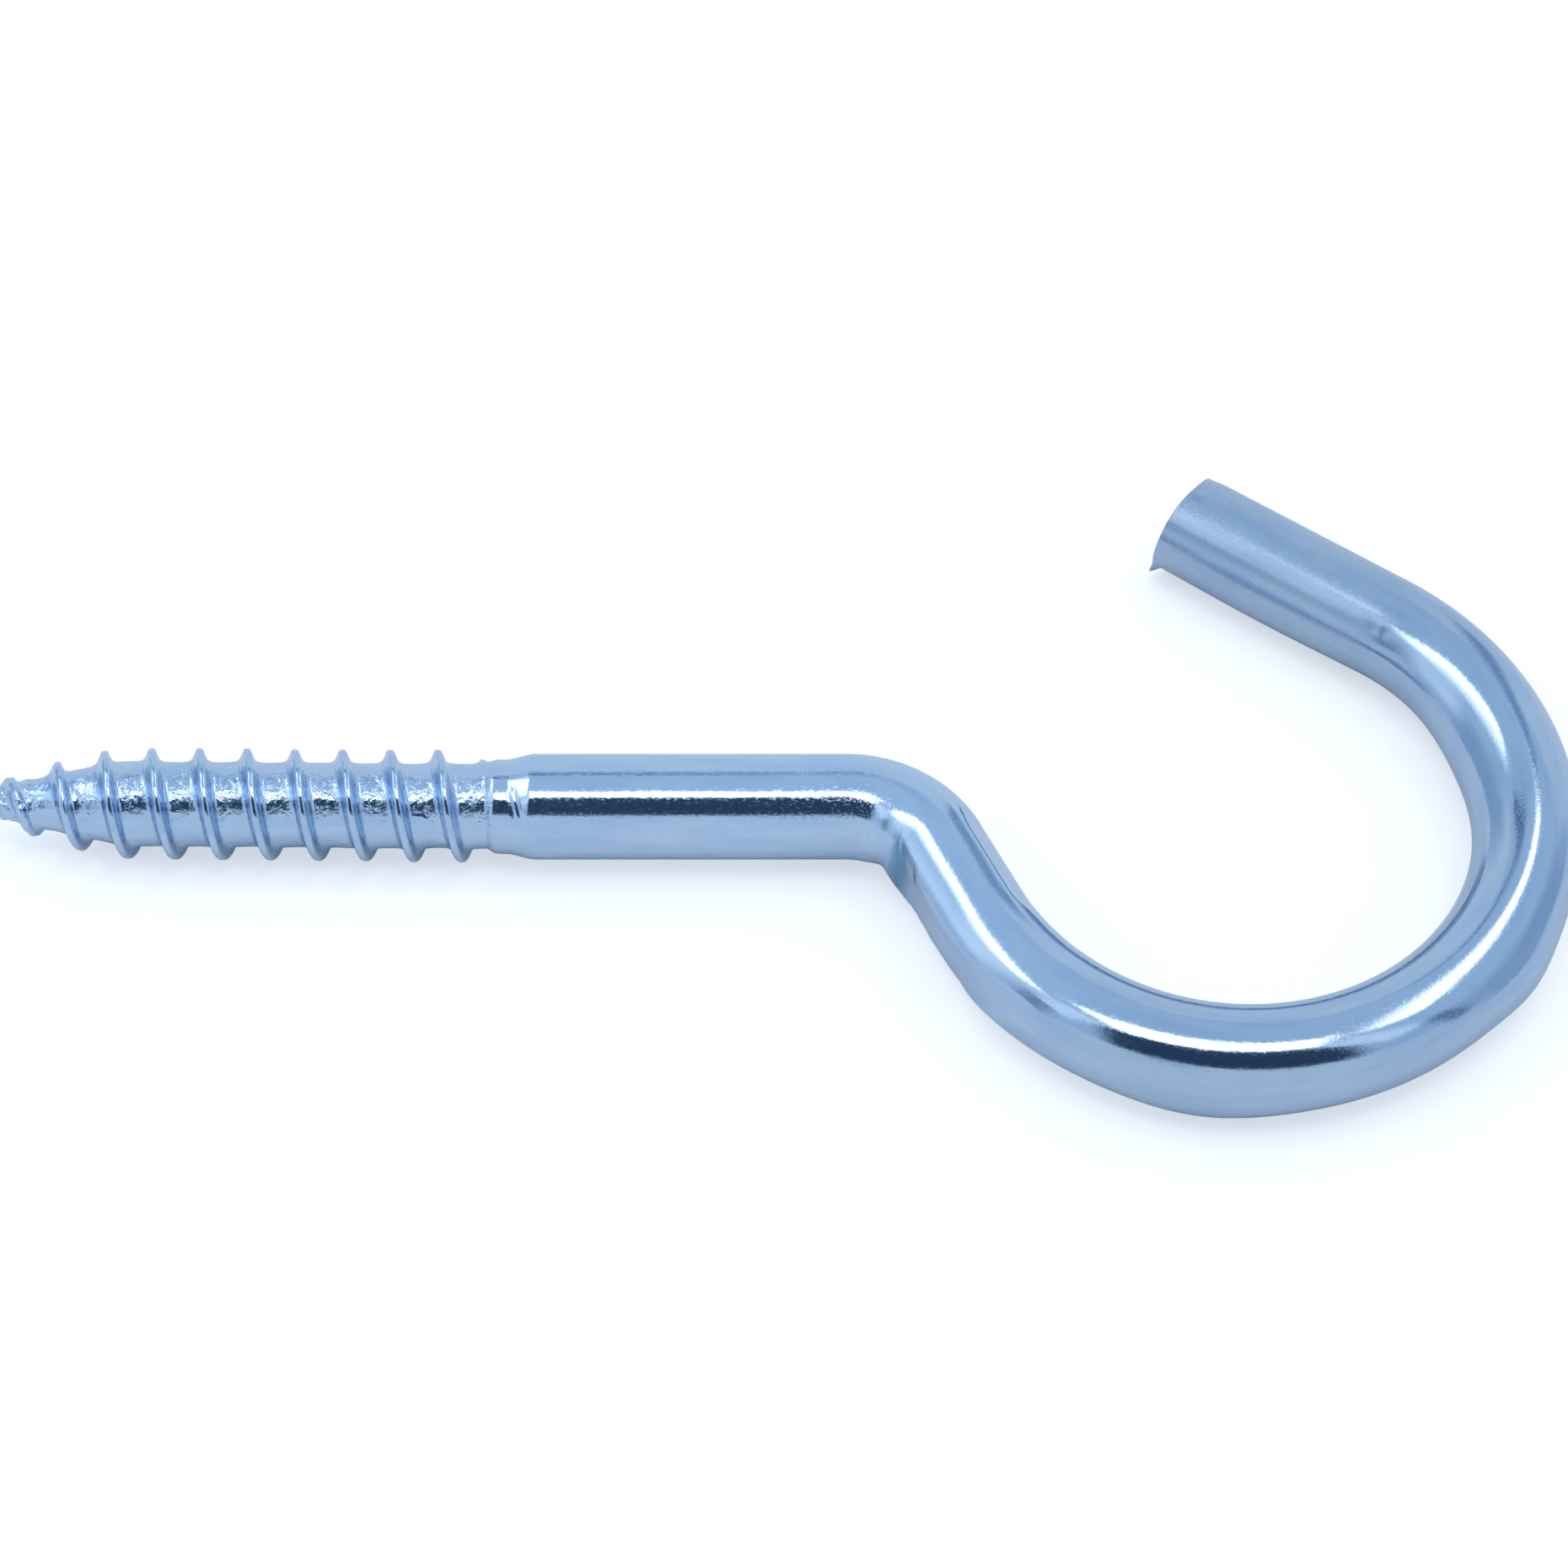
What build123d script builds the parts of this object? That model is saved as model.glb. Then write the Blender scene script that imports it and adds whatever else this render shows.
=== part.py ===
"""Open screw hook, made from one length of drawn steel wire.

One end is necked down, rolled with a coarse wood-screw thread and pointed. The other end is bent
off the shank's axis and wound back into a round, open hook with a straight tail.

Frame: the origin is on the shank's axis where the full wire begins, just past the shoulder behind
the thread. +X runs along the shank towards the hook, +Y is the side that the hook's mouth is on,
and +Z is square to the flat of the hook. Sizes are in millimetres and angles in degrees.
"""

import os
from math import cos, pi, radians, sin

from build123d import *

# Wire and overall size
wire_diameter = 3.9
overall_length = 60.0  # from the point to the far side of the hook

# Hook
hook_bore = 17.5  # clear inside diameter of the round
hook_drop = 0.35  # how far the round's centre lies to the -Y side of the shank's axis
hook_sweep_angle = 209.0  # how far round the wire is wound
tail_length = 9.1  # straight end of the wire
tail_edge_break = 0.15  # bevel round the cropped end
neck_angle = 64.0  # how far the wire is bent off the axis before the round
neck_bend_radius = 3.6  # to the wire's centreline

# Thread
thread_length = 20.3  # from the point to where the thread has run out
thread_pitch = 1.76
thread_end_angle = 30.0  # where the thread runs out, turning from +Y towards +Z
root_diameter = 3.12
crest_diameter = 4.12
thread_foot_width = 0.9  # across both flanks at the foot
thread_foot_depth = 0.12  # the foot stands this deep in the core
flank_knee_width = 0.4  # the flanks are hollow: shallow up to here, steep above it
flank_knee_height = 0.12
thread_end_gap = 0.54  # between the end of the thread and the end of the root
runout_length = 1.7  # over this length the thread sinks into the core
runout_depth = 0.625  # how far its foot line has sunk at the end

# Point
point_length = 6.4
point_diameter = 0.4  # flat at the very tip
point_thread_start = 1.6  # the thread begins this far behind the tip
point_thread_sink = 0.16  # how much lower the rib stands there
point_rib_drop = 0.025  # the rib on the point is this much lower all along

# Neck and shoulder between thread and full wire
neck_diameter = 3.5
neck_lead_in = 0.2  # over this length the root swells to the neck
neck_length = 0.25
shoulder_length = 0.65

# How closely the drawn helix follows the true one, and how far each half of the thread is drawn
# past the end of the point's cone before it is cut there
helix_points_per_turn = 8
overlap_turns = 0.6

wire_radius = wire_diameter / 2
root_radius = root_diameter / 2
neck_radius = neck_diameter / 2
tip_radius = point_diameter / 2
thread_height = (crest_diameter - root_diameter) / 2
neck_start_x = -shoulder_length - neck_length
root_end_x = neck_start_x - neck_lead_in
tip_x = root_end_x - thread_length
cone_end_x = tip_x + point_length
cone_slope = (root_radius - tip_radius) / point_length
thread_end_x = root_end_x - thread_end_gap
rib_overlap = overlap_turns * thread_pitch
core_overlap = 2 * rib_overlap

round_radius = (hook_bore + wire_diameter) / 2  # of the round's centreline
round_centre_x = tip_x + overall_length - wire_radius - round_radius
neck_cos = cos(radians(neck_angle))
neck_sin = sin(radians(neck_angle))
neck_run = (round_radius * neck_cos - neck_bend_radius * (1 - neck_cos) + hook_drop) / neck_sin
bend_start_x = (
    round_centre_x - (neck_bend_radius + round_radius) * neck_sin - neck_run * neck_cos
)


def on_helix(x, radius):
    """The point of the thread's helix at place x, at a distance from the axis."""
    angle = radians(thread_end_angle) + 2 * pi * (x - thread_end_x) / thread_pitch
    return Vector(x, radius * cos(angle), radius * sin(angle))


def shank_foot(x):
    """The thread's foot line on the cylinder, which sinks into the root at its end."""
    near_end = max(0.0, 1 - (thread_end_x - x) / runout_length)
    return on_helix(x, root_radius - runout_depth * near_end**2)


def point_foot(x):
    """The thread's foot line on the point's cone, a little sunk towards the tip."""
    near_tip = (cone_end_x - x) / (point_length - point_thread_start)
    radius = tip_radius + cone_slope * (x - tip_x)
    return on_helix(x, radius - point_thread_sink * max(0.0, near_tip) ** 2)


def rolled_rib(foot_line, start_x, end_x, height):
    """One rib of the thread, swept along its foot line."""
    steps = round((end_x - start_x) / thread_pitch * helix_points_per_turn)
    with BuildLine() as helix:
        Spline(*[foot_line(start_x + (end_x - start_x) * n / steps) for n in range(steps + 1)])
    start = helix.wire() @ 0
    heading = helix.wire() % 0
    outward = Vector(0, start.Y, start.Z).normalized()
    with BuildPart() as rib:
        with BuildSketch(Plane(start, x_dir=heading.cross(outward), z_dir=heading)):
            with BuildLine():
                Polyline(
                    (-thread_foot_width / 2, thread_foot_depth),
                    (thread_foot_width / 2, thread_foot_depth),
                    (flank_knee_width / 2, -flank_knee_height),
                    (0, -height),
                    (-flank_knee_width / 2, -flank_knee_height),
                    close=True,
                )
            make_face()
        sweep(path=helix.wire(), is_frenet=True)
    return rib.part


# Pointed end: the cone and its rib are drawn past the cone's end, then cut square there
with BuildPart() as pointed_end:
    with BuildSketch(Plane.XY):
        with BuildLine():
            Polyline(
                (tip_x, 0),
                (tip_x, tip_radius),
                (cone_end_x + core_overlap, root_radius + cone_slope * core_overlap),
                (cone_end_x + core_overlap, 0),
                close=True,
            )
        make_face()
    revolve(axis=Axis.X)
    point_rib_start_x = tip_x + point_thread_start
    point_rib_height = thread_height - point_rib_drop
    add(rolled_rib(point_foot, point_rib_start_x, cone_end_x + rib_overlap, point_rib_height))
    split(bisect_by=Plane.YZ.offset(cone_end_x), keep=Keep.BOTTOM)

with BuildPart() as screw_hook:
    # Threaded core, neck and shoulder, turned about the shank's axis
    with BuildSketch(Plane.XY):
        with BuildLine():
            Polyline(
                (cone_end_x - core_overlap, 0),
                (cone_end_x - core_overlap, root_radius),
                (root_end_x, root_radius),
                (neck_start_x, neck_radius),
                (neck_start_x + neck_length, neck_radius),
                (0, wire_radius),
                (0, 0),
                close=True,
            )
        make_face()
    revolve(axis=Axis.X)
    add(rolled_rib(shank_foot, cone_end_x - rib_overlap, thread_end_x, thread_height))
    split(bisect_by=Plane.YZ.offset(cone_end_x), keep=Keep.TOP)
    add(pointed_end.part)

    # Shank, neck bend, round and tail
    with BuildLine() as wire_path:
        shank = Line((0, 0), (bend_start_x, 0))
        neck_bend = JernArc(shank @ 1, shank % 1, neck_bend_radius, -neck_angle)
        neck = Line(neck_bend @ 1, neck_bend @ 1 + neck_run * (neck_bend % 1))
        bow = JernArc(neck @ 1, neck % 1, round_radius, hook_sweep_angle)
        tail = Line(bow @ 1, bow @ 1 + tail_length * (bow % 1))
    with BuildSketch(Plane.YZ):
        Circle(wire_radius)
    sweep(path=wire_path.wire())
    tail_rim = screw_hook.edges().filter_by(GeomType.CIRCLE).sort_by_distance(tail @ 1)[0]
    chamfer(tail_rim, tail_edge_break)

screw_hook.part.label = "screw_hook"
os.makedirs("parts", exist_ok=True)
export_step(screw_hook.part, "parts/screw_hook.step")
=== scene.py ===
import math

import bpy
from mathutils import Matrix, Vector, noise


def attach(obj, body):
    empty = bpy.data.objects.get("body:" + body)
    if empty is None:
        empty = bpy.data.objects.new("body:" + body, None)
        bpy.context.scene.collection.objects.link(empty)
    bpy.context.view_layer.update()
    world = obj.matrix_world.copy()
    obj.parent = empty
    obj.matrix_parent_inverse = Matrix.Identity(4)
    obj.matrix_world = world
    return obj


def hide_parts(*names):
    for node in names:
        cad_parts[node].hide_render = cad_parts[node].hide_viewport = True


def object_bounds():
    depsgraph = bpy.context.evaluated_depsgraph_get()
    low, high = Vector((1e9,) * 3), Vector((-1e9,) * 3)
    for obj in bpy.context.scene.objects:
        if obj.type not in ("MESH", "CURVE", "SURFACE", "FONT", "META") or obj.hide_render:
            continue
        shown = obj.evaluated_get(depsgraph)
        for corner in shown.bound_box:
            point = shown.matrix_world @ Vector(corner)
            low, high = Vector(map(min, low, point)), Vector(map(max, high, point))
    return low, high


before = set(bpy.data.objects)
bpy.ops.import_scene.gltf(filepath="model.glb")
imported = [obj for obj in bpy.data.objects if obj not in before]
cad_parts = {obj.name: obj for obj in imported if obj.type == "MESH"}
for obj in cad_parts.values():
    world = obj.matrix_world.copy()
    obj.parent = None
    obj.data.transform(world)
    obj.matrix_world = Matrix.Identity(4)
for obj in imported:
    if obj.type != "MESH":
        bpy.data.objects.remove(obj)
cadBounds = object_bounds()
print("frame loaded")

mm = 0.001

# Sizes are in millimetres and degrees. A place on the wire is given by how far along the wire it
# lies from the shoulder, and by its angle round the wire, from the mouth's side (0) over the top (90).
wire = {
    "radius": 1.95,
    "shank": 11.625,
    "neckTurn": -64.0,
    "neckRadius": 3.6,
    "neckRun": 3.359,
    "roundTurn": 209.0,
    "roundRadius": 10.7,
    "tail": 9.1,
    "spareTail": 1.0,      # the route runs on this far past the tail's end
    "pointsAround": 120,
    # from, to and how far apart the rows of points are
    "rows": [
        (-21.4, 0.2, 0.052),
        (0.2, 13.0, 0.3),
        (13.0, 25.0, 0.09),
        (25.0, 64.6, 0.3),
        (64.6, 67.14, 0.12),
    ],
    "unevenness": 0.003,
    # where the wire grows more or less uneven: from, to and by how much
    "unevenSteps": [(11.5, 14.5, 0.013), (24.0, 30.0, -0.007), (54.0, 60.0, 0.006)],
    # long, soft waves and shorter ones: how fine along and round, where they start, and their height
    "waves": [(0.05, 1.7, 0.0, 1.0), (0.11, 3.91, 9.0, 0.5)],
    # a faint ridge along the shank, left by the drawing die
    "dieLineAngle": 112.9,
    "dieLineHeight": 0.008,
    "dieLineWidth": 5.5,
    "dieLineFade": (11.0, 13.5),
}


def between(low, high, value):
    # 0 below low, 1 above high, and a soft ramp between them
    share = min(1.0, max(0.0, (value - low) / (high - low)))
    return share * share * (3 - 2 * share)


def spanOf(angles, degrees):
    # 1 between the two middle angles, and fading to 0 at the outer two
    start, full, fading, end = angles
    return between(start, full, degrees) * (1 - between(fading, end, degrees))


def turnFrom(middle, degrees):
    # the angle from the middle one, from -180 to 180
    return (degrees - middle + 180) % 360 - 180


def bell(distance, width):
    return math.exp(-(distance / width) ** 2)


def sizeAt(sizes, place):
    if place <= sizes[0][0]:
        return sizes[0][1]
    for (start, first), (end, last) in zip(sizes, sizes[1:]):
        if place <= end:
            return first + (last - first) * (place - start) / (end - start)
    return sizes[-1][1]


def deselectAll():
    if bpy.context.object and bpy.context.object.mode != "OBJECT":
        bpy.ops.object.mode_set(mode="OBJECT")
    bpy.ops.object.select_all(action="DESELECT")


thread = {
    "tip": -21.4,
    "end": -1.35,
    "fullWire": 0.1,       # from here on the wire has its own size
    "pitch": 1.76,
    "height": 0.5,
    "halfWidth": 0.212,    # of the rib, half way up
    "squareness": 4.3,
    "crestAngle": 36.0,    # the crest stands here at crestPlace
    "crestPlace": -1.67,
    "ribEnd": -1.25,
    "runout": 1.3,
    "tipHeight": 0.3,      # share of the rib's height at the tip
    "tipFade": (0.6, 5.0),
    "lean": 0.6,           # the rolled end points a little off the shank's line
    "leanStart": -1.0,
    "unevenness": 0.035,
    "unevenFade": (-0.6, 0.2),  # before and past the thread's end
    "lumpSizes": (1.1, 1.3),    # lumps for each millimetre along and round
    "lumpStart": 3.1,
    "thinnest": 0.06,
    "crumple": 0.09,            # of the tip
    "crumpleFineness": 3.2,
    "crumpleFade": (1.5, 5.0),
    # distance from the tip and the core's radius
    "coreSizes": [
        (0.0, 0.12), (0.5, 0.34), (1.7, 0.55), (3.0, 0.86),
        (4.6, 1.22), (6.0, 1.5), (6.8, 1.56),
    ],
    # distance from the thread's end and the radius of the neck and the shoulder
    "neckSizes": [
        (-0.25, 1.56), (0.0, 1.72), (0.12, 1.74), (0.58, 1.75),
        (0.64, 1.765), (1.34, 1.94), (1.42, 1.95),
    ],
    # two nicks in the shoulder
    "nickPlaces": (-0.62, -0.4),
    "nickDepth": 0.045,
    "nickWidth": 0.07,
    "nickMiddle": 125.0,
    "nickSlope": 0.008,    # how far the nicks move along for each degree round
    "nickAngles": (95.0, 115.0, 165.0),  # where they start, are full and stop
}


def ribHeight(x, angle):
    # how far the rolled rib stands above the core, from 0 to 1
    turns = (angle - math.radians(thread["crestAngle"])) / (2 * math.pi)
    turns = (x - thread["crestPlace"]) / thread["pitch"] - turns
    fromCrest = abs(turns - round(turns)) * thread["pitch"]
    rib = 1 / (1 + (fromCrest / thread["halfWidth"]) ** thread["squareness"])
    fadeOut = between(0.0, thread["runout"], thread["ribEnd"] - x)
    fadeIn = between(*thread["tipFade"], x - thread["tip"])
    return rib * fadeOut * (thread["tipHeight"] + (1 - thread["tipHeight"]) * fadeIn)


def nickDepthAt(x, degrees):
    start, full, end = thread["nickAngles"]
    if x <= thread["end"] or degrees >= end:
        return 0.0
    slope = thread["nickSlope"] * (degrees - thread["nickMiddle"])
    nicks = sum(bell(x - place - slope, thread["nickWidth"]) for place in thread["nickPlaces"])
    return thread["nickDepth"] * nicks * between(start, full, degrees)


def threadRadius(x, angle):
    fromTip = x - thread["tip"]
    fromEnd = x - thread["end"]
    core = sizeAt(thread["coreSizes"], fromTip)
    if fromEnd > thread["neckSizes"][0][0]:
        core = sizeAt(thread["neckSizes"], fromEnd)
    fineAlong, fineRound = thread["lumpSizes"]
    place = Vector((fineAlong * x, fineRound * math.cos(angle), fineRound * math.sin(angle)))
    uneven = thread["unevenness"] * noise.noise(place + Vector((thread["lumpStart"], 0, 0)))
    uneven *= 1 - between(*thread["unevenFade"], fromEnd)
    crumple = thread["crumple"] * noise.noise(place * thread["crumpleFineness"])
    crumple *= 1 - between(*thread["crumpleFade"], fromTip)
    core -= nickDepthAt(x, math.degrees(angle))
    rib = thread["height"] * ribHeight(x, angle)
    return max(thread["thinnest"], core + rib + uneven + crumple)


# The bending tool's marks: a flat on the neck's outer side, one on its inner side, and a crease
press = {
    "flatReach": 70.0,     # a flat reaches no further round than this
    # place and depth of the outer flat, and place and middle angle
    "outerDepths": [
        (14.8, 0.3), (15.5, 0.38), (16.7, 0.5), (18.3, 0.39),
        (20.0, 0.41), (21.5, 0.28), (22.8, 0.1), (24.2, 0.0),
    ],
    "outerAngles": [
        (15.2, 166.0), (17.0, 182.0), (20.3, 184.0),
        (21.65, 172.0), (22.95, 155.0), (24.2, 150.0),
    ],
    "outerRamp": (-0.5, 0.4),   # it starts at the crease
    "innerDepth": 0.12,
    "innerAngle": 36.0,
    "innerStart": (14.6, 16.2),
    "innerEnd": (19.5, 21.0),
    "creaseDepth": 0.05,
    "creaseWidth": 0.3,
    "creasePlace": 15.05,
    "creaseMiddle": 130.0,
    "creaseSlope": 0.018,
    "creaseTurn": 165.0,        # past this angle it runs straight round
    "creaseAngles": (122.0, 145.0, 180.0, 215.0),
    "dentPlace": 57.6,
    "dentAngle": 47.0,
    "dentDepth": 0.05,
    "dentLength": 0.5,
    "dentWidth": 9.0,
    # soft swellings left by the bending: place, angle, length, width in degrees, height
    "swellings": [
        (14.2, 212.0, 0.9, 30.0, -0.15),
        (29.3, 215.0, 2.6, 45.0, 0.2),
        (41.2, 203.0, 1.5, 45.0, 0.2),
        (51.0, 350.0, 3.6, 50.0, 0.24),
        (62.5, 329.0, 4.5, 40.0, 0.12),
    ],
}


def flatLimit(degrees, middle, depth):
    # how far out the surface may reach when a flat of this depth is pressed at the middle angle
    away = abs(turnFrom(middle, degrees))
    if depth <= 0 or away > press["flatReach"]:
        return math.inf
    return (wire["radius"] - depth) / math.cos(math.radians(away))


def creaseDistance(along, degrees):
    # how far along the wire a place is from the crease
    turned = min(degrees, press["creaseTurn"]) - press["creaseMiddle"]
    return along - press["creasePlace"] - press["creaseSlope"] * turned


def drawnUnevenness(along, angle):
    depth = wire["unevenness"]
    for start, end, step in wire["unevenSteps"]:
        depth += step * between(start, end, along)
    waves = 0.0
    for fineAlong, fineRound, start, height in wire["waves"]:
        side = (fineRound * math.cos(angle), fineRound * math.sin(angle))
        waves += height * noise.noise(Vector((fineAlong * along + start, *side)))
    return depth * waves


def dieLineAt(along, degrees):
    fromLine = (degrees - wire["dieLineAngle"]) / wire["dieLineWidth"]
    height = wire["dieLineHeight"] * (1 - between(*wire["dieLineFade"], along))
    return height * math.exp(-fromLine * fromLine / 2)


def swellingAt(along, degrees):
    swelling = 0.0
    for place, middle, length, width, height in press["swellings"]:
        swelling += height * bell(along - place, length) * bell(turnFrom(middle, degrees), width)
    return swelling


def wireRadiusAt(along, angle):
    degrees = math.degrees(angle) % 360
    fromCrease = creaseDistance(along, degrees)
    radius = wire["radius"] + drawnUnevenness(along, angle)
    radius += dieLineAt(along, degrees) + swellingAt(along, degrees)
    outer = sizeAt(press["outerDepths"], along) * between(*press["outerRamp"], fromCrease)
    radius = min(radius, flatLimit(degrees, sizeAt(press["outerAngles"], along), outer))
    inner = press["innerDepth"] * between(*press["innerStart"], along)
    inner *= 1 - between(*press["innerEnd"], along)
    radius = min(radius, flatLimit(degrees, press["innerAngle"], inner))
    crease = press["creaseDepth"] * bell(fromCrease, press["creaseWidth"])
    crease *= spanOf(press["creaseAngles"], degrees)
    dent = press["dentDepth"] * bell(along - press["dentPlace"], press["dentLength"])
    dent *= bell(turnFrom(press["dentAngle"], degrees), press["dentWidth"])
    return radius - crease - dent


# the bent wire's middle line: the length and the turn of each stretch
legs = [
    (wire["shank"], 0.0),
    (math.radians(-wire["neckTurn"]) * wire["neckRadius"], wire["neckTurn"]),
    (wire["neckRun"], 0.0),
    (math.radians(wire["roundTurn"]) * wire["roundRadius"], wire["roundTurn"]),
    (wire["tail"] + wire["spareTail"], 0.0),
]
wireLength = sum(length for length, turn in legs) - wire["spareTail"]


def onRoute(along):
    # place and heading of the bent wire's middle line
    if along <= 0:
        return along, math.radians(thread["lean"]) * max(0.0, thread["leanStart"] - along), 0.0
    x, y, heading = 0.0, 0.0, 0.0
    for length, turn in legs:
        part = min(along, length)
        if turn:
            radius = length / math.radians(turn)
            swung = math.radians(turn) * part / length
            x += radius * (math.sin(heading + swung) - math.sin(heading))
            y -= radius * (math.cos(heading + swung) - math.cos(heading))
            heading += swung
        else:
            x += part * math.cos(heading)
            y += part * math.sin(heading)
        along -= part
        if along <= 1e-9:
            break
    return x, y, heading


def selectLengthwise(piece, lowX, highX):
    # the edges that run along the straight blank between two places
    slack = 0.001
    bpy.ops.mesh.select_all(action="DESELECT")
    bpy.ops.object.mode_set(mode="OBJECT")
    points = piece.data.vertices
    for edge in piece.data.edges:
        startX, endX = sorted(points[corner].co.x / mm for corner in edge.vertices)
        edge.select = endX - startX > slack and startX > lowX - slack and endX < highX + slack
    bpy.ops.object.mode_set(mode="EDIT")


def makeBlank():
    # straight wire: a ring of points drawn out along X, then cut into even rows
    deselectAll()
    bpy.ops.mesh.primitive_circle_add(
        vertices=wire["pointsAround"],
        radius=wire["radius"] * mm,
        location=(thread["tip"] * mm, 0, 0),
        rotation=(0, math.pi / 2, 0),
    )
    blank = bpy.context.object
    blank.name = "screwHook"
    bpy.ops.object.transform_apply(location=True, rotation=True, scale=True)
    bpy.ops.object.mode_set(mode="EDIT")
    bpy.ops.mesh.select_mode(type="VERT")
    bpy.ops.mesh.select_all(action="SELECT")
    mostCuts = 90          # one subdivide makes at most 100 cuts
    spans = []
    for start, end, step in wire["rows"]:
        parts = math.ceil((end - start) / step / mostCuts)
        length = (end - start) / parts
        spans += [(start + length * part, length, step) for part in range(parts)]
    for start, length, step in spans:
        bpy.ops.mesh.extrude_region_move(TRANSFORM_OT_translate={"value": (length * mm, 0, 0)})
    bpy.ops.mesh.select_mode(type="EDGE")
    for start, length, step in spans:
        selectLengthwise(blank, start, start + length)
        bpy.ops.mesh.subdivide(number_cuts=round(length / step))
    return blank


# The cropped end is pulled over by the cutter, with a burr on its lower edge
crop = {
    "pull": 0.2,
    "pullAngle": 85.0,
    "pullLength": 2.5,
    "upperPull": 0.16,
    "upperTuck": 0.05,
    "tuckLength": 0.8,
    "upperAngles": (50.0, 115.0, 160.0, 240.0),
    "burrAngle": -42.0,
    "burrWidth": 11.0,
    "burrHeight": 0.36,
    "burrPush": 0.1,
    "burrLength": 0.3,
    "hollow": 0.1,
    "tear": 0.05,
    "tearSizes": (1.4, 0.9),    # tears for each millimetre across and up
    "tearStart": 9.0,
    "faceRings": 4,
    "faceRingWidth": 0.4,
}


def closeEnds():
    # a round face on each open end, cut into rings
    bpy.ops.mesh.select_all(action="DESELECT")
    bpy.ops.mesh.select_non_manifold()
    bpy.ops.mesh.fill_holes(sides=0)
    bpy.ops.mesh.select_mode(type="FACE")
    bpy.ops.mesh.select_all(action="DESELECT")
    bpy.ops.mesh.select_face_by_sides(number=4, type="GREATER")
    for ring in range(crop["faceRings"]):
        bpy.ops.mesh.inset(thickness=crop["faceRingWidth"] * mm)
    bpy.ops.mesh.poke()
    bpy.ops.mesh.select_all(action="SELECT")
    bpy.ops.mesh.normals_make_consistent(inside=False)
    bpy.ops.object.mode_set(mode="OBJECT")


def cropEnd(place, degrees, reach):
    # how far a point near the cropped end moves along and out
    tail = place.x
    upper = spanOf(crop["upperAngles"], degrees)
    burr = reach * bell(turnFrom(crop["burrAngle"], degrees), crop["burrWidth"])
    burr *= between(wireLength - crop["burrLength"], wireLength, tail)
    pull = crop["pull"] * math.cos(math.radians(degrees - crop["pullAngle"])) + crop["upperPull"] * upper
    pull *= reach * between(wireLength - crop["pullLength"], wireLength, tail)
    fineAcross, fineUp = crop["tearSizes"]
    torn = noise.noise(Vector((crop["tearStart"], fineAcross * place.y, fineUp * place.z)))
    along = crop["burrPush"] * burr - pull - (1 - reach) * (crop["hollow"] + crop["tear"] * torn)
    tuck = crop["upperTuck"] * upper * between(wireLength - crop["tuckLength"], wireLength, tail)
    return along, crop["burrHeight"] * burr - tuck


def rollAndPress(blank):
    # the thread, the shoulder and the tool's marks, made while the wire is straight
    for vertex in blank.data.vertices:
        place = vertex.co / mm
        angle = math.atan2(place.z, place.y)
        reach = math.hypot(place.y, place.z) / wire["radius"]  # 1 on the wall, 0 in the middle of an end
        inThread = place.x < thread["fullWire"]
        radius = threadRadius(place.x, angle) if inThread else wireRadiusAt(place.x, angle)
        if place.x > wireLength - crop["pullLength"]:
            along, out = cropEnd(place, math.degrees(angle) % 360, reach)
            vertex.co.x += along * mm
            radius += out
        vertex.co.y = reach * radius * mm * math.cos(angle)
        vertex.co.z = reach * radius * mm * math.sin(angle)


def keepStraightPlaces(blank):
    # every point keeps its place on the straight wire, for finishes that run along the wire
    places = [number / mm for vertex in blank.data.vertices for number in vertex.co]
    straight = blank.data.attributes.new("straightPlace", "FLOAT_VECTOR", "POINT")
    straight.data.foreach_set("vector", places)


def bendWire(blank):
    for vertex in blank.data.vertices:
        x, y, heading = onRoute(vertex.co.x / mm)
        side = vertex.co.y
        vertex.co.x = x * mm - side * math.sin(heading)
        vertex.co.y = y * mm + side * math.cos(heading)


screwHook = makeBlank()
closeEnds()
print("blank drawn and closed", len(screwHook.data.polygons))
rollAndPress(screwHook)
keepStraightPlaces(screwHook)
bendWire(screwHook)
deselectAll()
screwHook.select_set(True)
bpy.context.view_layer.objects.active = screwHook
bpy.ops.object.shade_smooth_by_angle(angle=math.radians(50))
print("thread rolled and wire bent")

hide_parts("screw_hook")
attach(screwHook, "root")


# Zinc plate. Pattern sizes are in repeats for each millimetre.
plate = {
    "color": (0.57, 0.70, 0.86),
    "deepColor": (0.47, 0.62, 0.82),
    "creaseShadeColor": (0.17, 0.33, 0.48),
    "rootEdge": 0.1,
    "rootSpread": 1.6,                      # the rib's foot takes this much from the root
    "creaseShadeWidths": (0.16, 0.4),             # of the painted shade along the crease, and how much wider it grows
    "creaseShadeOffset": 0.3,                     # share of its width that it lies past the crease
    "creaseShadeSpread": (135.0, 170.0),
    "creaseShadeAngles": (120.0, 140.0, 200.0, 240.0),
    # painted shade: place along the wire and how much of the plate's colour is kept there (1 is unshaded)
    "shadeAlongWire": [(20.0, 1.0), (27.0, 0.9), (52.0, 0.9), (58.5, 0.83), (68.0, 0.83)],
    "roughness": (0.05, 0.13),
    "tailDullness": 0.12,
    "tailFade": (56.5, 59.0),
    "cloudSize": 1.6,
    "cloudStretch": 0.2,                    # below 1 is drawn out along the wire
    "cloudEdge": (0.4, 0.75),
    "pitSize": 9.0,
    "pitDepth": 0.0016,
    "lineSize": 7.0,
    "lineStretch": 0.05,
    "lineDepth": 0.0016,
    "crinkleSize": 3.0,
    "crinkleTwist": 1.2,
    "crinkleDepth": 0.045,
    "fleckSize": 12.0,
    "fleckStretch": 0.55,
    "fleckEdge": (0.5, 0.7),
    "fleckDepth": 0.0016,
    "fleckDullness": 0.3,
    "fleckRise": (8.0, 11.5, 0.5, 1.0),     # from, to and how thick the flecks lie
    "fleckFall": (12.5, 14.5, 1.0, 0.3),
}


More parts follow.
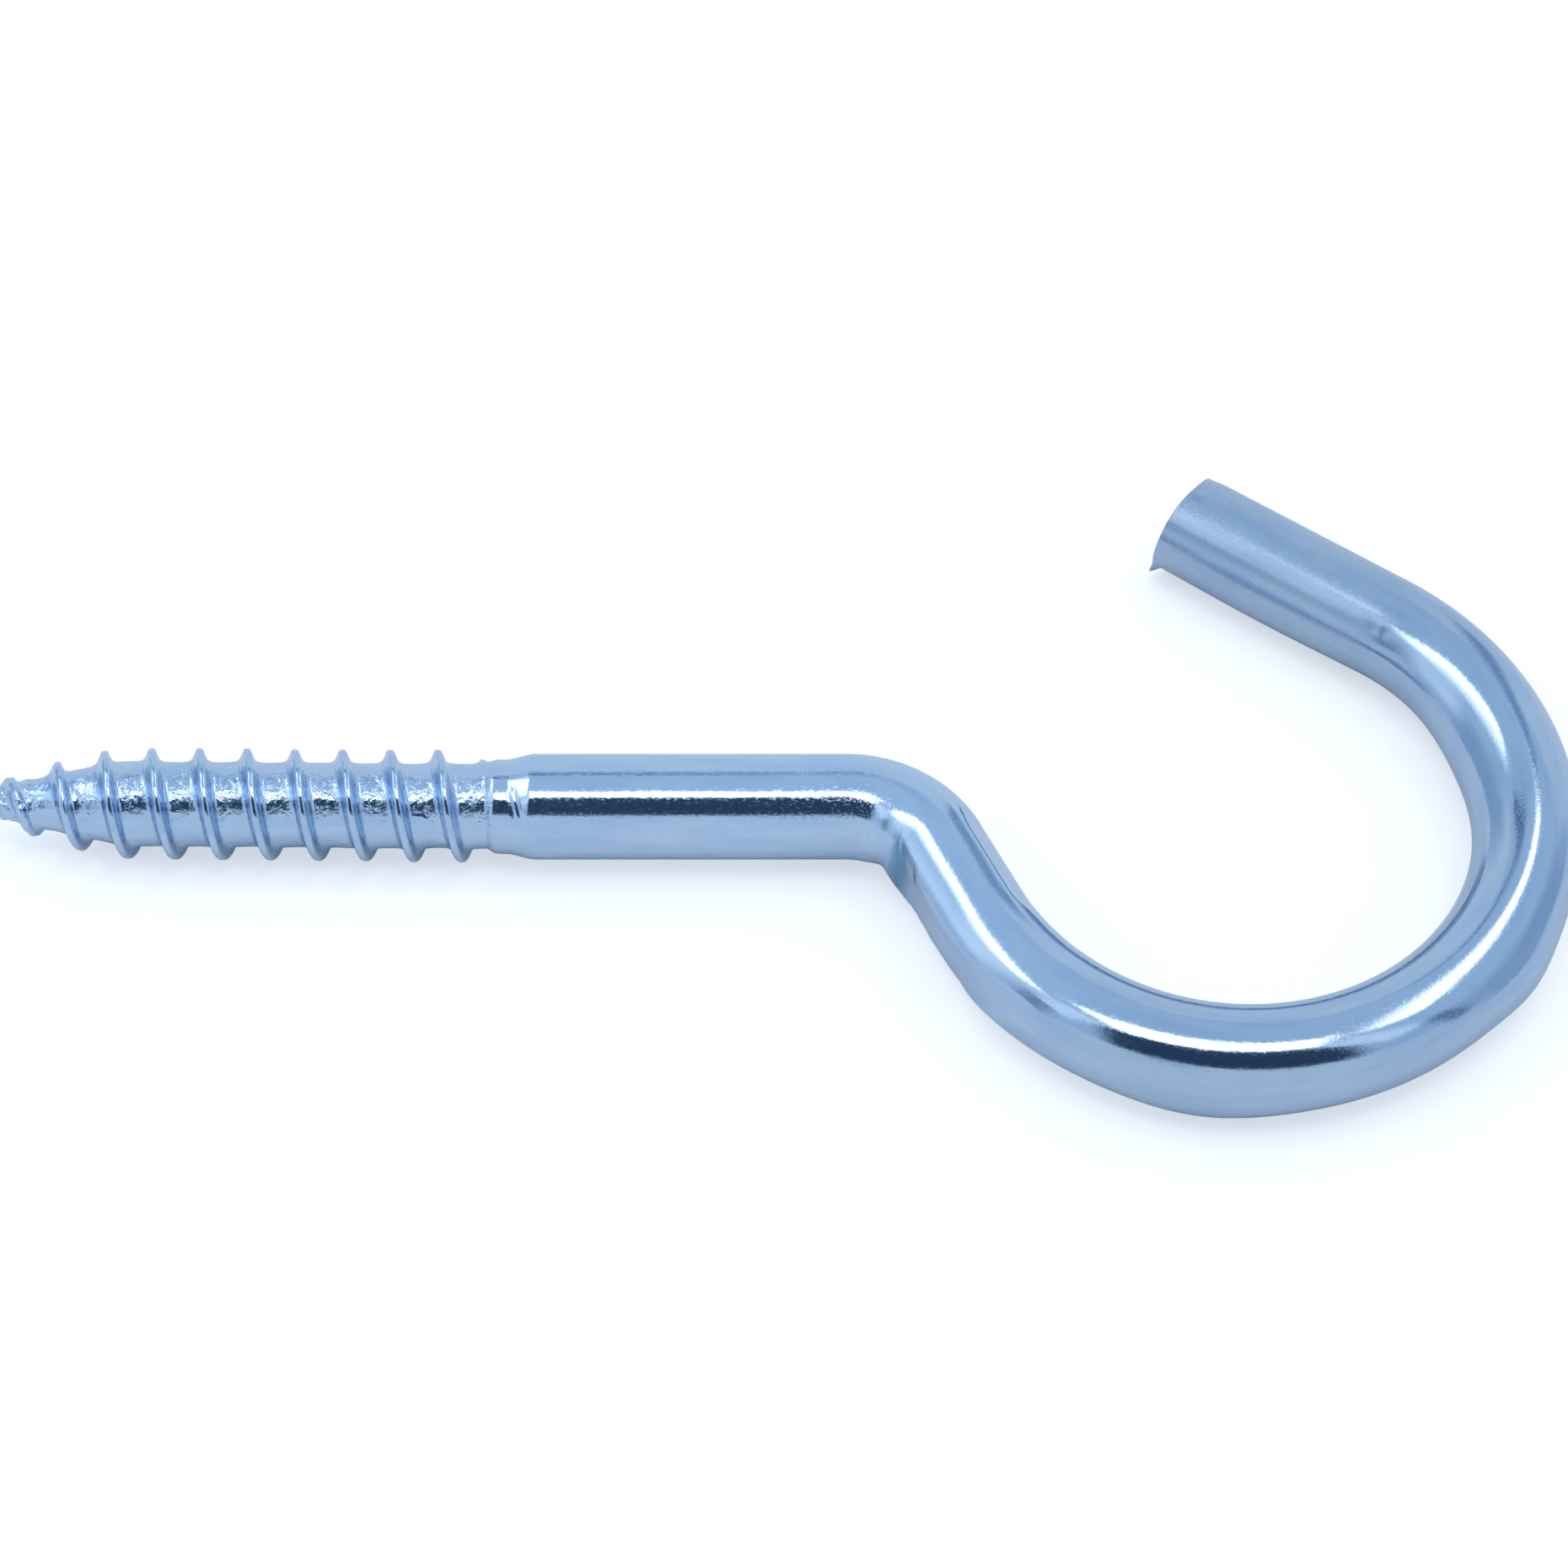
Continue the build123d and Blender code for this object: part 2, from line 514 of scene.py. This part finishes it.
def rolledRootAt(place):
    # 1 in the rolled root of the thread, 0 on the rib and on the plain wire
    onRib = min(1.0, plate["rootSpread"] * ribHeight(place.x, math.atan2(place.z, place.y)))
    edge = plate["rootEdge"]
    return (1 - between(thread["end"] - edge, thread["end"] + edge, place.x)) * (1 - onRib)


# painted shade: a dark teal band in the plate's colour along the crease, standing in for a dark reflection
# there
def creaseShadeAt(place):
    degrees = math.degrees(math.atan2(place.z, place.y)) % 360
    narrow, wider = plate["creaseShadeWidths"]
    width = narrow + wider * between(*plate["creaseShadeSpread"], degrees)
    fromMiddle = creaseDistance(place.x, degrees) - plate["creaseShadeOffset"] * width
    return spanOf(plate["creaseShadeAngles"], degrees) * bell(fromMiddle, width)


# painted shade: the plate's colour is darkened over the round and the tail, standing in for the light there
def plateShadeAt(place):
    return sizeAt(plate["shadeAlongWire"], place.x)


def markPlate(piece):
    # what the plate's nodes can't work out by themselves is kept on the points
    marks = {"rolledRoot": rolledRootAt, "creaseShade": creaseShadeAt, "plateShade": plateShadeAt}
    for name in marks:
        piece.data.attributes.new(name, "FLOAT", "POINT")
    places = [point.vector.copy() for point in piece.data.attributes["straightPlace"].data]
    for name, markAt in marks.items():
        piece.data.attributes[name].data.foreach_set("value", [markAt(place) for place in places])


def addNode(tree, kind, place, **settings):
    node = tree.nodes.new("ShaderNode" + kind)
    node.location = place
    for name, value in settings.items():
        setattr(node, name, value)
    return node


def setInputs(node, **values):
    for name, value in values.items():
        node.inputs[name].default_value = value


def addRange(tree, place, source, low, high, toLow=0.0, toHigh=1.0, shape="LINEAR"):
    # turns values from low to high into values from toLow to toHigh
    node = addNode(tree, "MapRange", place, interpolation_type=shape)
    setInputs(node, **{"From Min": low, "From Max": high, "To Min": toLow, "To Max": toHigh})
    tree.links.new(source, node.inputs["Value"])
    return node.outputs[0]


def addMath(tree, place, operation, *sources):
    # a source is another node's output or a number
    node = addNode(tree, "Math", place, operation=operation)
    for socket, source in zip(node.inputs, sources):
        if isinstance(source, float):
            socket.default_value = source
        else:
            tree.links.new(source, socket)
    return node.outputs[0]


def addMix(tree, place, amount, first, secondColor):
    node = addNode(tree, "Mix", place, data_type="RGBA")
    node.inputs[7].default_value = (*secondColor, 1)
    tree.links.new(amount, node.inputs[0])
    if isinstance(first, tuple):
        node.inputs[6].default_value = (*first, 1)
    else:
        tree.links.new(first, node.inputs[6])
    return node.outputs[2]


def addPattern(tree, place, source, size, detail, stretch=1.0, twist=0.0):
    # a noise pattern, drawn out along the wire where stretch is below 1
    if stretch != 1.0:
        mapping = addNode(tree, "Mapping", (place[0] - 200, place[1]))
        mapping.inputs["Scale"].default_value = (stretch, 1, 1)
        tree.links.new(source, mapping.inputs["Vector"])
        source = mapping.outputs[0]
    node = addNode(tree, "TexNoise", place)
    setInputs(node, Scale=size, Detail=detail, Distortion=twist)
    tree.links.new(source, node.inputs["Vector"])
    return node.outputs[0]


def addBump(tree, place, height, depth, strength=None, normal=None):
    node = addNode(tree, "Bump", place)
    setInputs(node, Strength=1.0, Distance=depth * mm)
    tree.links.new(height, node.inputs["Height"])
    if strength:
        tree.links.new(strength, node.inputs["Strength"])
    if normal:
        tree.links.new(normal, node.inputs["Normal"])
    return node.outputs[0]


def makeZinc():
    zinc = bpy.data.materials.new("zincPlate")
    zinc.use_nodes = True
    tree = zinc.node_tree
    link = tree.links.new
    shader = tree.nodes["Principled BSDF"]
    shader.inputs["Metallic"].default_value = 1.0

    place = addNode(tree, "Attribute", (-1600, 0), attribute_name="straightPlace").outputs["Vector"]
    root = addNode(tree, "Attribute", (-1600, -500), attribute_name="rolledRoot").outputs["Fac"]
    shadeInCrease = addNode(tree, "Attribute", (-1600, 500), attribute_name="creaseShade").outputs["Fac"]
    shadeAlong = addNode(tree, "Attribute", (-300, 600), attribute_name="plateShade").outputs["Fac"]
    axes = addNode(tree, "SeparateXYZ", (-1400, -1000))
    link(place, axes.inputs[0])
    along = axes.outputs["X"]

    pits = addPattern(tree, (-1000, 0), place, plate["pitSize"], 3.0)
    lines = addPattern(tree, (-1000, -200), place, plate["lineSize"], 2.0, stretch=plate["lineStretch"])
    crinkle = addPattern(tree, (-1000, -450), place, plate["crinkleSize"], 3.0, twist=plate["crinkleTwist"])
    cloud = addPattern(tree, (-1000, 250), place, plate["cloudSize"], 3.0, stretch=plate["cloudStretch"])

    # flecks in the plate, thickest on the shank before the bend
    specks = addPattern(tree, (-1000, -750), place, plate["fleckSize"], 2.0, stretch=plate["fleckStretch"])
    flecks = addRange(tree, (-800, -750), specks, *plate["fleckEdge"])
    rise = addRange(tree, (-1000, -1000), along, *plate["fleckRise"])
    fall = addRange(tree, (-1000, -1250), along, *plate["fleckFall"])
    fleckAmount = addMath(tree, (-800, -1000), "MULTIPLY", rise, fall)

    # cloudy colour, the painted shade in the crease, and the painted shade along the wire
    clouded = addRange(tree, (-750, 250), cloud, *plate["cloudEdge"])
    color = addMix(tree, (-500, 250), clouded, plate["color"], plate["deepColor"])
    # painted shade: the crease is darkened towards the dark teal colour
    creaseShaded = addMix(tree, (-300, 350), shadeInCrease, color, plate["creaseShadeColor"])
    # painted shade: the colour is scaled down along the wire
    darkened = addNode(tree, "VectorMath", (-100, 450), operation="SCALE")
    link(creaseShaded, darkened.inputs[0])
    link(shadeAlong, darkened.inputs["Scale"])
    link(darkened.outputs[0], shader.inputs["Base Color"])

    # the plate is duller where it is cloudy, on the flecks and at the tail
    rough = addRange(tree, (-750, 50), cloud, 0.0, 1.0, *plate["roughness"])
    dull = addMath(tree, (-600, -850), "MULTIPLY", flecks, fleckAmount)
    dulled = addMath(tree, (-400, -850), "MULTIPLY_ADD", dull, plate["fleckDullness"], rough)
    tail = addRange(tree, (-600, -1100), along, *plate["tailFade"], 0.0, plate["tailDullness"], "SMOOTHSTEP")
    link(addMath(tree, (-250, -950), "ADD", dulled, tail), shader.inputs["Roughness"])

    # pits, drawing lines, the crinkled root of the thread, and flecks
    bump = addBump(tree, (-500, -50), pits, plate["pitDepth"])
    bump = addBump(tree, (-350, -200), lines, plate["lineDepth"], normal=bump)
    bump = addBump(tree, (-200, -450), crinkle, plate["crinkleDepth"], strength=root, normal=bump)
    bump = addBump(tree, (-50, -750), flecks, plate["fleckDepth"], strength=fleckAmount, normal=bump)
    link(bump, shader.inputs["Normal"])
    return zinc


markPlate(screwHook)
screwHook.data.materials.clear()
screwHook.data.materials.append(makeZinc())
print("zinc plated")


# Studio: cards stand round the hook, each at a direction seen from it. Azimuth 0 is the camera's
# side and 90 the right, sizes are the angles that a card fills, and spin turns it on its own centre.
# taper is how wide its top is against its bottom, and soft gives how much of it fades at its left,
# right, bottom and top.
studio = {
    "distance": 0.6,
    "blue": (0.47, 0.63, 0.82),
    "pale": (0.64, 0.76, 0.90),
    "dim": (0.34, 0.48, 0.67),
}

cards = {
    # the dark card that stands over the camera, and the lamps
    "cameraCard": dict(azimuth=2, elevation=52, size=(76, 42), color=(0.028, 0.06, 0.115),
                       taper=0.58, soft=(0.13, 0.13, 0.2, 0.05)),
    "overheadLamp": dict(azimuth=3, elevation=81, size=(38, 17.5), color=(1.0, 1.0, 1.0), strength=2.6,
                         soft=(0.12, 0.12, 0.06, 0.12)),
    "leftLamp": dict(azimuth=-106, elevation=54, size=(46, 22), color=(0.93, 0.97, 1.0), strength=2.4,
                     spin=-3, soft=(0.04, 0.3, 0.8, 0.1)),
    "rightLamp": dict(azimuth=119, elevation=61.5, size=(42, 14), color=(1.0, 0.98, 1.0), strength=2.4,
                      spin=-20, soft=(0.15, 0.04, 0.25, 0.3)),
    # pale haze and dark flaps on both sides
    "leftHaze": dict(azimuth=-88, elevation=32, size=(36, 48), color=studio["pale"], strength=1.2,
                     soft=(0.35, 0.35, 0.35, 0.1)),
    "leftGlow": dict(azimuth=-56, elevation=52, size=(15, 32), color=studio["pale"], strength=1.25,
                     soft=(0.35, 0.3, 0.2, 0.2)),
    "rightGlow": dict(azimuth=56, elevation=52, size=(15, 32), color=studio["pale"], strength=1.2,
                      soft=(0.3, 0.35, 0.2, 0.2)),
    "leftFlap": dict(azimuth=-60, elevation=31, size=(14, 34), color=(0.24, 0.34, 0.46),
                     soft=(0.4, 0.4, 0.25, 0.25)),
    "rightFlap": dict(azimuth=65, elevation=26, size=(9, 40), color=(0.15, 0.24, 0.37),
                      soft=(0.4, 0.4, 0.3, 0.3)),
    "leftSide": dict(azimuth=-122, elevation=16, size=(60, 44), color=studio["dim"],
                     soft=(0.3, 0.3, 0.2, 0.4)),
    "rightSide": dict(azimuth=92, elevation=16, size=(60, 44), color=studio["dim"],
                      soft=(0.3, 0.3, 0.2, 0.4)),
    # paper in front and behind, with its seams
    "frontPaper": dict(azimuth=0, elevation=5, size=(150, 60), color=studio["pale"], strength=0.92),
    "backPaper": dict(azimuth=180, elevation=20, size=(130, 46), color=studio["pale"], strength=0.95,
                      soft=(0.15, 0.15, 0, 0.08)),
    "backSeam": dict(azimuth=180, elevation=46.5, size=(12, 2.9), color=(0.12, 0.23, 0.39),
                     soft=(0.2, 0.2, 0.3, 0.3)),
    "backFlap": dict(azimuth=-166, elevation=48.8, size=(30, 6), color=(0.08, 0.17, 0.33),
                     spin=-21, soft=(0.35, 0.2, 0.45, 0.25)),
    "sideSeam": dict(azimuth=148, elevation=30, size=(10, 44), color=(0.22, 0.36, 0.56),
                     soft=(0.4, 0.45, 0.2, 0.15)),
}


def fadedEdges(tree, soft):
    # 1 over the card and 0 at its soft edges, or nothing for a card with hard edges
    place = addNode(tree, "TexCoord", (-1000, 200))
    axes = addNode(tree, "SeparateXYZ", (-800, 200))
    tree.links.new(place.outputs["UV"], axes.inputs[0])
    left, right, bottom, top = soft
    shown = None
    for axis, edge, inner in (("X", 0, left), ("X", 1, 1 - right), ("Y", 0, bottom), ("Y", 1, 1 - top)):
        if inner == edge:
            continue
        ramp = addRange(tree, (-600, 200), axes.outputs[axis], edge, inner, shape="SMOOTHSTEP")
        shown = addMath(tree, (-300, 200), "MULTIPLY", shown, ramp) if shown else ramp
    return shown


def makeSheet(name, color, strength, soft):
    sheet = bpy.data.materials.new(name)
    sheet.use_nodes = True
    tree = sheet.node_tree
    tree.nodes.clear()
    glow = addNode(tree, "Emission", (0, 0))
    setInputs(glow, Color=(*color, 1), Strength=strength)
    clear = addNode(tree, "BsdfTransparent", (0, 150))
    mixed = addNode(tree, "MixShader", (200, 0))
    mixed.inputs[0].default_value = 1.0
    tree.links.new(clear.outputs[0], mixed.inputs[1])
    tree.links.new(glow.outputs[0], mixed.inputs[2])
    shown = fadedEdges(tree, soft)
    if shown:
        tree.links.new(shown, mixed.inputs[0])
    end = addNode(tree, "OutputMaterial", (400, 0))
    tree.links.new(mixed.outputs[0], end.inputs[0])
    return sheet


def makeCard(name, azimuth, elevation, size, color, strength=1.0, taper=1.0, spin=0.0, soft=(0, 0, 0, 0)):
    side, lift = math.radians(azimuth), math.radians(elevation)
    out = Vector((math.cos(lift) * math.sin(side), -math.cos(lift) * math.cos(side), math.sin(lift)))
    deselectAll()
    bpy.ops.mesh.primitive_grid_add(
        x_subdivisions=8,
        y_subdivisions=8,
        size=1,
        location=out * studio["distance"],
        rotation=(math.pi / 2 - lift, 0, side),
    )
    card = bpy.context.object
    card.name = name
    card.rotation_euler.rotate_axis("Z", math.radians(spin))
    width, height = (2 * studio["distance"] * math.tan(math.radians(angle / 2)) for angle in size)
    card.scale = (width, height, 1)
    for vertex in card.data.vertices:
        vertex.co.x *= 1 + (taper - 1) * (vertex.co.y + 0.5)
    card.data.materials.append(makeSheet(name, color, strength, soft))


for cardName, cardValues in cards.items():
    makeCard(cardName, **cardValues)


# Floor: white paper that keeps the hook's shadow, and is lifted to white where the camera sees it
paper = {
    "size": 3.0,           # metres
    "gap": 0.01,           # below the hook
    "shade": 0.8,
    "mirroredShade": 0.92,
    "lift": 0.5,
}


def makeFloor():
    deselectAll()
    bpy.ops.mesh.primitive_plane_add(size=paper["size"], location=(0, 0, cadBounds[0].z - paper["gap"] * mm))
    floor = bpy.context.object
    floor.name = "floor"
    floorPaper = bpy.data.materials.new("paper")
    floorPaper.use_nodes = True
    tree = floorPaper.node_tree
    tree.nodes.clear()
    link = tree.links.new
    matt = addNode(tree, "BsdfDiffuse", (0, 100))
    white = addNode(tree, "Emission", (0, -100))
    seen = addNode(tree, "LightPath", (-400, -100))
    mirrored, direct = seen.outputs["Is Glossy Ray"], seen.outputs["Is Camera Ray"]
    shade = addRange(tree, (-200, 150), mirrored, 0.0, 1.0, paper["shade"], paper["mirroredShade"])
    lift = addRange(tree, (-200, -100), direct, 0.0, 1.0, 0.0, paper["lift"])
    link(shade, matt.inputs["Color"])
    link(lift, white.inputs["Strength"])
    both = addNode(tree, "AddShader", (200, 0))
    link(matt.outputs[0], both.inputs[0])
    link(white.outputs[0], both.inputs[1])
    end = addNode(tree, "OutputMaterial", (400, 0))
    link(both.outputs[0], end.inputs[0])
    floor.data.materials.append(floorPaper)


makeFloor()
tent = bpy.data.worlds.new("tent")
bpy.context.scene.world = tent
tent.use_nodes = True
setInputs(tent.node_tree.nodes["Background"], Color=(*studio["blue"], 1), Strength=1.0)
print("studio set")

# Camera: it looks down at the hook from the side away from its mouth
view = {"lens": 110.0, "target": (9.33, 1.03, 0.0), "elevation": 54.0, "distance": 177.3}
tilt = math.radians(view["elevation"])
bpy.ops.object.camera_add(rotation=(math.pi / 2 - tilt, 0, 0))
camera = bpy.context.object
away = Vector((0, -math.cos(tilt), math.sin(tilt)))
camera.location = (Vector(view["target"]) + view["distance"] * away) * mm
camera.data.lens = view["lens"]
camera.data.sensor_width = 36
camera.data.clip_start = 0.01
bpy.context.scene.camera = camera
bpy.context.scene.view_settings.view_transform = "Standard"
print("camera set")
